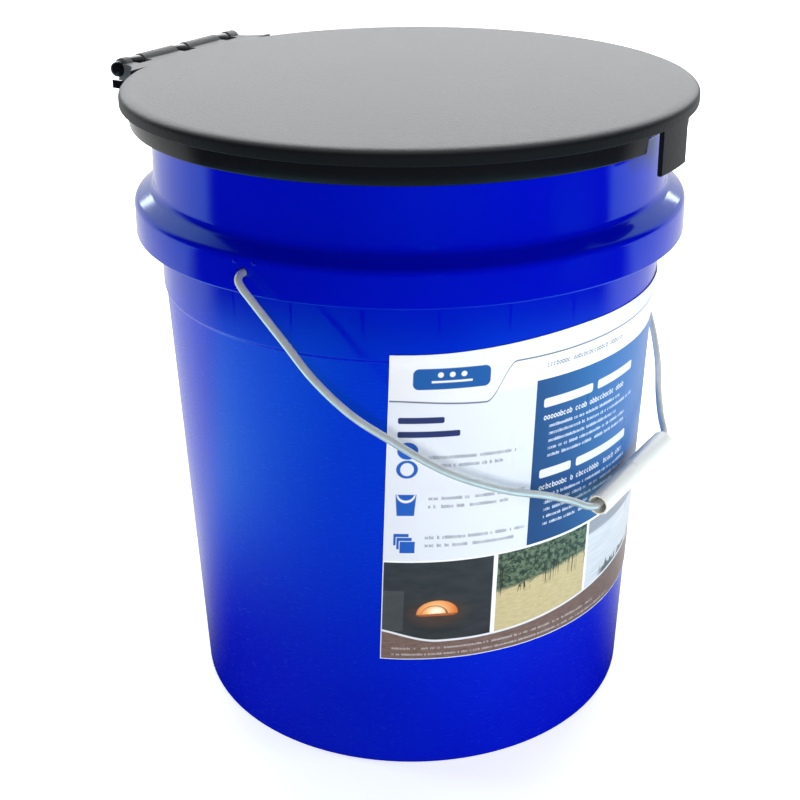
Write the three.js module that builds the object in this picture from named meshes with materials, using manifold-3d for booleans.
// Portable camp toilet: a tapered five gallon pail with a wire bail, and a hinged
// seat and lid that press on its rim.
//
// Units are millimetres. +Z is up, the front is -Y, the lid hinge is at +Y and the
// bail swings about an axis along X. Everything is drawn about the pail's axis, and the
// whole is then moved so that the origin is the middle of the footprint, on the floor.

import * as THREE from 'three';
import { mergeVertices } from 'three/addons/utils/BufferGeometryUtils.js';
import Module from 'manifold-3d';

const wasm = await Module();
wasm.setup();

// ---- driving dimensions -------------------------------------------------------

const SIDES = 72;                 // facets round every large ring
const SMALL_SIDES = 24;           // facets round pins, knuckles and the grip
const GAP = 0.35;                 // between pieces that only rest on each other

const pail = {
  footR: 131, stepR: 141.2, stepZ: 254, zoneR: 142.3, wall: 2.3,
  neckR: 144.2, shoulderTopZ: 312.7, shoulderR: 155.2, shoulderZ: 305.8,
  collarR: 155.6, collarZ: 287.4, beadR: 147.2, rimZ: 356, beadDepth: 6,
  floorZ: 6.5, recessZ: 4, recessR: 119,
};
const collarRibs = { count: 24, thickness: 2, bottomZ: 289.5, topZ: 309 };

const bail = {
  earZ: 298.5, wireR: 2, holeR: 2.7, stubStart: 147, legX: 162.5, reach: 202,
  hangAngle: THREE.MathUtils.degToRad(46.3), headR: 3.4, headLength: 2.5,
};
const grip = { length: 90, nearR: 5.8, farR: 6.4, boreR: 4.7 };

const label = { bottomZ: 74, topZ: 256.5, halfAngle: 63.5, thickness: 0.4 };

const seat = {
  skirtR: 154.6, skirtTopR: 156.2, skirtZ: 348.2, crownZ: 362.8, wall: 2.4,
  holeX: 98, holeY: 108, lipZ: 344, lipWall: 3, guideR: 138.6, guideWall: 2.6, guideZ: 338,
  ribs: 12, ribThickness: 2, notchHalfAngle: 11.2,
};
const lid = {
  edgeR: 159.5, topZ: 366.5, edgeZ: 358.8, skin: 2.9, rimWall: 2.3,
  tabHalfAngle: 5.6, tabZ: 335.5, tabWall: 2.7,
};
const hinge = {
  y: 166.5, z: 363.2, barrelR: 5.8, halfLength: 54, knuckleR: 5.3, pinR: 2.5,
  slots: [-40.5, 0, 40.5], slotWidth: 11, knuckleWidth: 9.5, slotFrontY: 151,
  boreR: 2.9, headR: 5.2, headLength: 5, bracketBottomZ: 351.5, bracketTopZ: 356.3,
  bracketBackY: 172,
};
const bag = { length: 150, width: 112, thickness: 6, turns: [0.05, -0.12, 0.2] };

// ---- materials ----------------------------------------------------------------

function plastic(color, roughness) {
  return new THREE.MeshStandardMaterial({ color, roughness, metalness: 0 });
}

const blueGloss = plastic(0x0512b8, 0.22);
const blackGloss = plastic(0x17181c, 0.3);
const greyGrain = plastic(0x3a3c40, 0.55);
const cream = plastic(0xe6e4dc, 0.45);
const paper = plastic(0xe9ebf5, 0.35);
const bagFilm = plastic(0xe8eaee, 0.5);
const steel = new THREE.MeshStandardMaterial({ color: 0xc4c6c8, roughness: 0.3, metalness: 1 });

// ---- solids from geometries ---------------------------------------------------

function signedVolume(position, index) {
  const a = new THREE.Vector3();
  const b = new THREE.Vector3();
  const c = new THREE.Vector3();
  let sum = 0;
  for (let i = 0; i < index.length; i += 3) {
    a.fromBufferAttribute(position, index[i]);
    b.fromBufferAttribute(position, index[i + 1]);
    c.fromBufferAttribute(position, index[i + 2]);
    sum += a.dot(b.cross(c)) / 6;
  }
  return sum;
}

// A closed geometry as a manifold solid, with its faces turned outward.
function solid(geometry) {
  const plain = geometry.clone();
  plain.deleteAttribute('normal');
  plain.deleteAttribute('uv');
  const merged = mergeVertices(plain, 1e-4);
  const index = Uint32Array.from(merged.index.array);
  const position = merged.getAttribute('position');
  if (signedVolume(position, index) < 0) index.reverse();
  const mesh = new wasm.Mesh({
    numProp: 3,
    vertProperties: Float32Array.from(position.array),
    triVerts: index,
  });
  mesh.merge();
  return new wasm.Manifold(mesh);
}

function geometryOf(manifold) {
  const mesh = manifold.getMesh();
  const geometry = new THREE.BufferGeometry();
  geometry.setAttribute('position', new THREE.BufferAttribute(mesh.vertProperties, 3));
  geometry.setIndex(new THREE.BufferAttribute(mesh.triVerts, 1));
  geometry.computeVertexNormals();
  return geometry;
}

// A closed outline of [radius, z] points turned about Z; angle 0 is the front.
function turned(outline, sides = SIDES) {
  const points = outline.map(([radius, z]) => new THREE.Vector2(radius, z));
  const geometry = new THREE.LatheGeometry(points, sides);
  geometry.rotateX(Math.PI / 2);
  return solid(geometry);
}

function ring(innerR, outerR, bottomZ, topZ, sides = SIDES) {
  const outline = [
    [innerR, bottomZ], [outerR, bottomZ], [outerR, topZ], [innerR, topZ], [innerR, bottomZ],
  ];
  return turned(outline, sides);
}

// An [x, y] outline raised from bottomZ to topZ.
function raised(shape, bottomZ, topZ, curveSegments = 12) {
  const options = { depth: topZ - bottomZ, bevelEnabled: false, curveSegments };
  const geometry = new THREE.ExtrudeGeometry(shape, options);
  geometry.translate(0, 0, bottomZ);
  return solid(geometry);
}

// A pie slice about the front, between two heights.
function wedge(halfAngleDeg, radius, bottomZ, topZ) {
  const half = THREE.MathUtils.degToRad(halfAngleDeg);
  const shape = new THREE.Shape();
  shape.moveTo(0, 0);
  const steps = 12;
  for (let i = 0; i <= steps; i++) {
    const angle = -half + (2 * half * i) / steps;
    shape.lineTo(radius * Math.sin(angle), -radius * Math.cos(angle));
  }
  shape.closePath();
  return raised(shape, bottomZ, topZ);
}

function block(x0, x1, y0, y1, z0, z1) {
  const geometry = new THREE.BoxGeometry(x1 - x0, y1 - y0, z1 - z0);
  geometry.translate((x0 + x1) / 2, (y0 + y1) / 2, (z0 + z1) / 2);
  return solid(geometry);
}

// A radial plate: from radius r0 to r1, at an angle from the front.
function radialPlate(angle, r0, r1, thickness, z0, z1) {
  const geometry = new THREE.BoxGeometry(thickness, r1 - r0, z1 - z0);
  geometry.translate(0, -(r0 + r1) / 2, (z0 + z1) / 2);
  geometry.rotateZ(angle);
  return solid(geometry);
}

// A round bar along X.
function barAlongX(radius, x0, x1, y, z, sides = SMALL_SIDES) {
  const geometry = new THREE.CylinderGeometry(radius, radius, x1 - x0, sides);
  geometry.rotateZ(Math.PI / 2);
  geometry.translate((x0 + x1) / 2, y, z);
  return solid(geometry);
}

function joined(pieces) {
  return pieces.reduce((whole, piece) => whole.add(piece));
}

function pailRadius(z) {
  return pail.footR + ((pail.stepR - pail.footR) * z) / pail.stepZ;
}

// ---- pail ---------------------------------------------------------------------

// One moulding: foot ring, tapered wall, stacking collar with its hollow, neck and bead.
function pailOutline() {
  const { wall, neckR, zoneR, collarR, shoulderR, beadR, rimZ } = pail;
  const underCollarZ = 303.6;
  const collarInnerR = collarR - 2;
  const neckInnerR = neckR - 0.8 - wall;
  return [
    [121, 0], [129.2, 0], [pail.footR, 1.8],
    [pail.stepR, pail.stepZ], [zoneR, pail.stepZ + 1.2], [zoneR + 0.6, 309.5],
    [collarInnerR - 0.4, underCollarZ], [collarInnerR, pail.collarZ],
    [collarR, pail.collarZ], [shoulderR, pail.shoulderZ], [neckR, pail.shoulderTopZ],
    [neckR - 0.9, rimZ - pail.beadDepth], [beadR - 0.4, rimZ - pail.beadDepth + 0.3],
    [beadR, rimZ - 4.6], [beadR, rimZ - 1.6], [beadR - 1.4, rimZ],
    [neckInnerR + 1.2, rimZ], [neckInnerR, rimZ - 1.2],
    [neckInnerR + 0.4, pail.shoulderTopZ - 2], [zoneR - wall, 300],
    [zoneR - wall - 0.6, pail.stepZ + 1.2], [pail.stepR - wall - 0.2, pail.stepZ - 3],
    [pailRadius(11) - wall, 11], [pailRadius(11) - wall - 1.6, 8],
    [pailRadius(11) - wall - 5, pail.floorZ], [0, pail.floorZ],
    [0, pail.recessZ], [pail.recessR, pail.recessZ], [121, 0],
  ];
}

function makePail() {
  const shell = turned(pailOutline());
  const ribs = [];
  for (let i = 0; i < collarRibs.count; i++) {
    const angle = ((i + 0.5) * 2 * Math.PI) / collarRibs.count;
    const plate = radialPlate(angle, pail.zoneR - 0.6, pail.collarR - 1.2,
      collarRibs.thickness, collarRibs.bottomZ, collarRibs.topZ - 2);
    ribs.push(plate);
  }
  // The plates stop at the sloped shoulder, inside its thickness.
  const underShoulder = turned([
    [pail.zoneR - 1, 280], [pail.collarR - 1, 280], [pail.collarR - 1, 304.2],
    [pail.zoneR - 1, 311], [pail.zoneR - 1, 280],
  ]);
  const trimmed = joined(ribs).intersect(underShoulder);
  const holes = [-1, 1].map((side) => {
    const x = side * (pail.collarR - 1);
    return barAlongX(bail.holeR, x - 5, x + 5, 0, bail.earZ, 16);
  });
  return shell.add(trimmed).subtract(joined(holes));
}

// ---- bail and grip --------------------------------------------------------------

// Half of the bail in its own plane, from the ear to the grip: [across, below the ear].
const bailHalf = [
  [148, 0], [153, 0], [157.6, 0.5], [161, 2.6], [162.3, 6.6], [162.5, 14], [162.5, 40],
  [162.4, 64], [156.8, 88], [146.2, 108], [127, 138], [99, 164], [74, 180.5], [60, 191.5],
  [52.5, 198.8], [45.5, 201.8], [36, 202],
];

function bailCurve() {
  const left = bailHalf.map(([across, below]) => new THREE.Vector3(-across, 0, -below));
  const right = bailHalf.map(([across, below]) => new THREE.Vector3(across, 0, -below));
  const middle = new THREE.Vector3(0, 0, -bail.reach);
  return new THREE.CatmullRomCurve3([...left, middle, ...right.reverse()]);
}

function makeBail() {
  const section = new THREE.Shape();
  section.absarc(0, 0, bail.wireR, 0, 2 * Math.PI);
  const wire = new THREE.ExtrudeGeometry(section, {
    steps: 170, extrudePath: bailCurve(), curveSegments: 4, bevelEnabled: false,
  });
  const heads = [-1, 1].map((side) => {
    const outer = side * (bail.stubStart + bail.headLength);
    const inner = side * bail.stubStart;
    return barAlongX(bail.headR, Math.min(inner, outer), Math.max(inner, outer), 0, 0, 12);
  });
  return joined([solid(wire), ...heads]);
}

// A tube in two halves of slightly different diameter, open right through.
function makeGrip() {
  const half = grip.length / 2;
  const outline = [
    [grip.boreR, -half], [grip.nearR - 0.4, -half], [grip.nearR, -half + 0.6],
    [grip.nearR, -1], [grip.farR, 0], [grip.farR, half - 0.8], [grip.farR - 0.6, half],
    [grip.boreR, half], [grip.boreR, -half],
  ];
  const points = outline.map(([radius, along]) => new THREE.Vector2(radius, along));
  const geometry = new THREE.LatheGeometry(points, SMALL_SIDES);
  geometry.rotateZ(-Math.PI / 2);
  return solid(geometry);
}

// ---- label ----------------------------------------------------------------------

function makeLabel() {
  const inner = (z) => pailRadius(z) + GAP;
  const outer = (z) => inner(z) + label.thickness;
  const { bottomZ, topZ } = label;
  const top = Math.min(topZ, pail.stepZ - 0.5);
  const band = turned([
    [inner(bottomZ), bottomZ], [outer(bottomZ), bottomZ], [outer(top), top],
    [inner(top), top], [inner(bottomZ), bottomZ],
  ]);
  return band.intersect(wedge(label.halfAngle, 170, bottomZ - 5, topZ + 5));
}

// ---- seat -----------------------------------------------------------------------

function ellipse(radiusX, radiusY) {
  const shape = new THREE.Shape();
  shape.absellipse(0, 0, radiusX, radiusY, 0, 2 * Math.PI);
  return shape;
}

function holeRadius(angle) {
  const across = Math.sin(angle) / (seat.holeX + seat.lipWall);
  const along = Math.cos(angle) / (seat.holeY + seat.lipWall);
  return 1 / Math.hypot(across, along);
}

function seatCrown() {
  const { skirtR, skirtTopR, skirtZ, crownZ, wall } = seat;
  return turned([
    [0, 357.4], [88, 357.4], [108, 360.4], [124, 362.2], [138, crownZ], [150, 362.2],
    [154.6, 360.6], [skirtTopR, 357.6], [skirtR, skirtZ], [skirtR - wall, skirtZ],
    [skirtTopR - wall - 0.4, 357], [150, 359.4], [138, crownZ - 2.8], [124, 359.4],
    [108, 357.5], [88, 354.5], [0, 354.5],
  ]);
}

function seatRibs() {
  const plates = [];
  for (let i = 0; i < seat.ribs; i++) {
    const angle = ((i + 0.5) * 2 * Math.PI) / seat.ribs;
    const start = holeRadius(angle) - 1;
    plates.push(radialPlate(angle, start, seat.guideR - 1, seat.ribThickness, 350, 357.6));
    // These short plates rest on the pail's rim.
    plates.push(radialPlate(angle, seat.guideR - 1, seat.skirtR - 1.6, seat.ribThickness,
      pail.rimZ + GAP, 360));
  }
  return joined(plates);
}

// Small inward lips low on the skirt that catch under the pail's bead.
function catchLugs() {
  const lugs = ring(pail.beadR + 0.8, seat.skirtR - 1.2, seat.skirtZ + 0.2, seat.skirtZ + 1.6);
  const slices = [];
  for (let i = 0; i < 6; i++) {
    const slice = wedge(4, 170, seat.skirtZ - 1, seat.skirtZ + 3);
    slices.push(slice.rotate([0, 0, 30 + i * 60]));
  }
  return lugs.intersect(joined(slices));
}

function seatHinge() {
  const { y, z, halfLength, knuckleR, knuckleWidth } = hinge;
  const bracket = block(-halfLength, halfLength, 140, hinge.bracketBackY,
    hinge.bracketBottomZ, hinge.bracketTopZ).subtract(ring(0.01, 153.4, 340, 370));
  const knuckles = hinge.slots.map((x) => {
    const x0 = x - knuckleWidth / 2;
    const x1 = x + knuckleWidth / 2;
    const arm = block(x0, x1, y - 4.6, y + 4.6, hinge.bracketTopZ - 1, z);
    return barAlongX(knuckleR, x0, x1, y, z).add(arm);
  });
  const bore = barAlongX(hinge.boreR, -halfLength - 9, halfLength + 9, y, z);
  return joined([bracket, ...knuckles]).subtract(bore);
}

function makeSeat() {
  const hole = raised(ellipse(seat.holeX, seat.holeY), 300, 380, 48);
  const lip = raised(ellipse(seat.holeX + seat.lipWall, seat.holeY + seat.lipWall),
    seat.lipZ, 358.2, 48);
  const guide = ring(seat.guideR - seat.guideWall, seat.guideR, seat.guideZ, 360.6);
  const notchAngle = seat.notchHalfAngle;
  const notch = wedge(notchAngle, 170, 340, 358).subtract(wedge(notchAngle + 5, 150.5, 330, 380));
  const body = joined([seatCrown(), lip, guide, seatRibs(), catchLugs(), seatHinge()]);
  return body.subtract(hole).subtract(notch);
}

function makeHingePin() {
  const { y, z, pinR, headR, headLength, halfLength } = hinge;
  const shaft = barAlongX(pinR, -halfLength - 1.5, halfLength - 4, y, z);
  const head = barAlongX(headR, -halfLength - 1 - headLength, -halfLength - 1, y, z);
  return shaft.add(head);
}

// ---- lid ------------------------------------------------------------------------

function lidDisc() {
  const { edgeR, topZ, edgeZ, skin, rimWall } = lid;
  return turned([
    [0, topZ], [151.5, topZ], [155.2, topZ - 0.5], [157.8, topZ - 1.9], [edgeR - 0.3, topZ - 4],
    [edgeR, topZ - 5.8], [edgeR, edgeZ], [edgeR - rimWall, edgeZ], [edgeR - rimWall, 361.6],
    [155.6, topZ - skin], [0, topZ - skin],
  ]);
}

// The tongue behind the disc that carries the barrel, with flared corners.
function lidTongue() {
  const { y, halfLength } = hinge;
  const shape = new THREE.Shape();
  shape.moveTo(-halfLength, y);
  shape.lineTo(-halfLength, 158.5);
  shape.quadraticCurveTo(-halfLength - 1, 151.5, -66, 145);
  shape.lineTo(66, 145);
  shape.quadraticCurveTo(halfLength + 1, 151.5, halfLength, 158.5);
  shape.lineTo(halfLength, y);
  shape.closePath();
  const tongue = raised(shape, lid.edgeZ, lid.topZ - 0.6, 6);
  const inside = ring(0.01, lid.edgeR - 0.8, 340, 380);
  return tongue.subtract(inside);
}

function lidRibs() {
  const depth = 2.6;
  const z0 = lid.topZ - lid.skin - depth;
  const z1 = lid.topZ - lid.skin + 0.5;
  const plates = [ring(86.5, 88.5, z0, z1), ring(39, 41, z0, z1)];
  for (let i = 0; i < 8; i++) {
    plates.push(radialPlate((i * Math.PI) / 4, 40, 87.5, 2, z0, z1));
  }
  return joined(plates);
}

function makeLid() {
  const { y, z, barrelR, halfLength } = hinge;
  const barrel = barAlongX(barrelR, -halfLength, halfLength, y, z);
  const tab = ring(lid.edgeR - lid.tabWall, lid.edgeR - 0.02, lid.tabZ, lid.topZ - 4.4)
    .intersect(wedge(lid.tabHalfAngle, 170, 300, 380));
  const slots = hinge.slots.map((x) => {
    const half = hinge.slotWidth / 2;
    return block(x - half, x + half, hinge.slotFrontY, 176, 350, 375);
  });
  const bore = barAlongX(hinge.boreR, -halfLength - 5, halfLength - 3.4, y, z);
  const body = joined([lidDisc(), lidTongue(), barrel, tab, lidRibs()]);
  return body.subtract(joined(slots)).subtract(bore);
}

// ---- liner bags -----------------------------------------------------------------

// A folded liner bag: a thin pack with round ends.
function makeBag() {
  const { length, width, thickness } = bag;
  const r = thickness / 2 - 0.2;
  const shape = new THREE.Shape();
  shape.moveTo(-width / 2 + r, 0);
  shape.lineTo(width / 2 - r, 0);
  shape.absarc(width / 2 - r, r, r, -Math.PI / 2, Math.PI / 2);
  shape.lineTo(-width / 2 + r, 2 * r);
  shape.absarc(-width / 2 + r, r, r, Math.PI / 2, (3 * Math.PI) / 2);
  const geometry = new THREE.ExtrudeGeometry(shape, {
    depth: length, bevelEnabled: false, curveSegments: 4,
  });
  geometry.rotateX(Math.PI / 2);
  geometry.translate(0, length / 2, 0);
  return solid(geometry);
}

// ---- assembly -------------------------------------------------------------------

function part(name, manifold, material) {
  const mesh = new THREE.Mesh(geometryOf(manifold), material);
  mesh.name = name;
  return mesh;
}

const toilet = new THREE.Group();
// The barrel reaches further back than the lid does at the front.
toilet.position.y = -(hinge.y + hinge.barrelR - lid.edgeR) / 2;
toilet.add(part('bucket_shell', makePail(), blueGloss));
toilet.add(part('label', makeLabel(), paper));

const bailGroup = new THREE.Group();
bailGroup.position.z = bail.earZ;
bailGroup.rotation.x = -bail.hangAngle;
bailGroup.add(part('bail_wire', makeBail(), steel));
const bailGrip = part('bail_grip', makeGrip(), cream);
bailGrip.position.z = -bail.reach;
bailGroup.add(bailGrip);
toilet.add(bailGroup);

toilet.add(part('seat_ring', makeSeat(), blackGloss));
toilet.add(part('hinge_pin', makeHingePin(), blackGloss));
toilet.add(part('lid', makeLid(), greyGrain));

bag.turns.forEach((turn, i) => {
  const folded = part(`liner_bag_${i + 1}`, makeBag(), bagFilm);
  folded.position.set(3 * i - 2, 4 - 5 * i, pail.floorZ + GAP + i * bag.thickness);
  folded.rotation.z = turn;
  toilet.add(folded);
});

export default toilet;
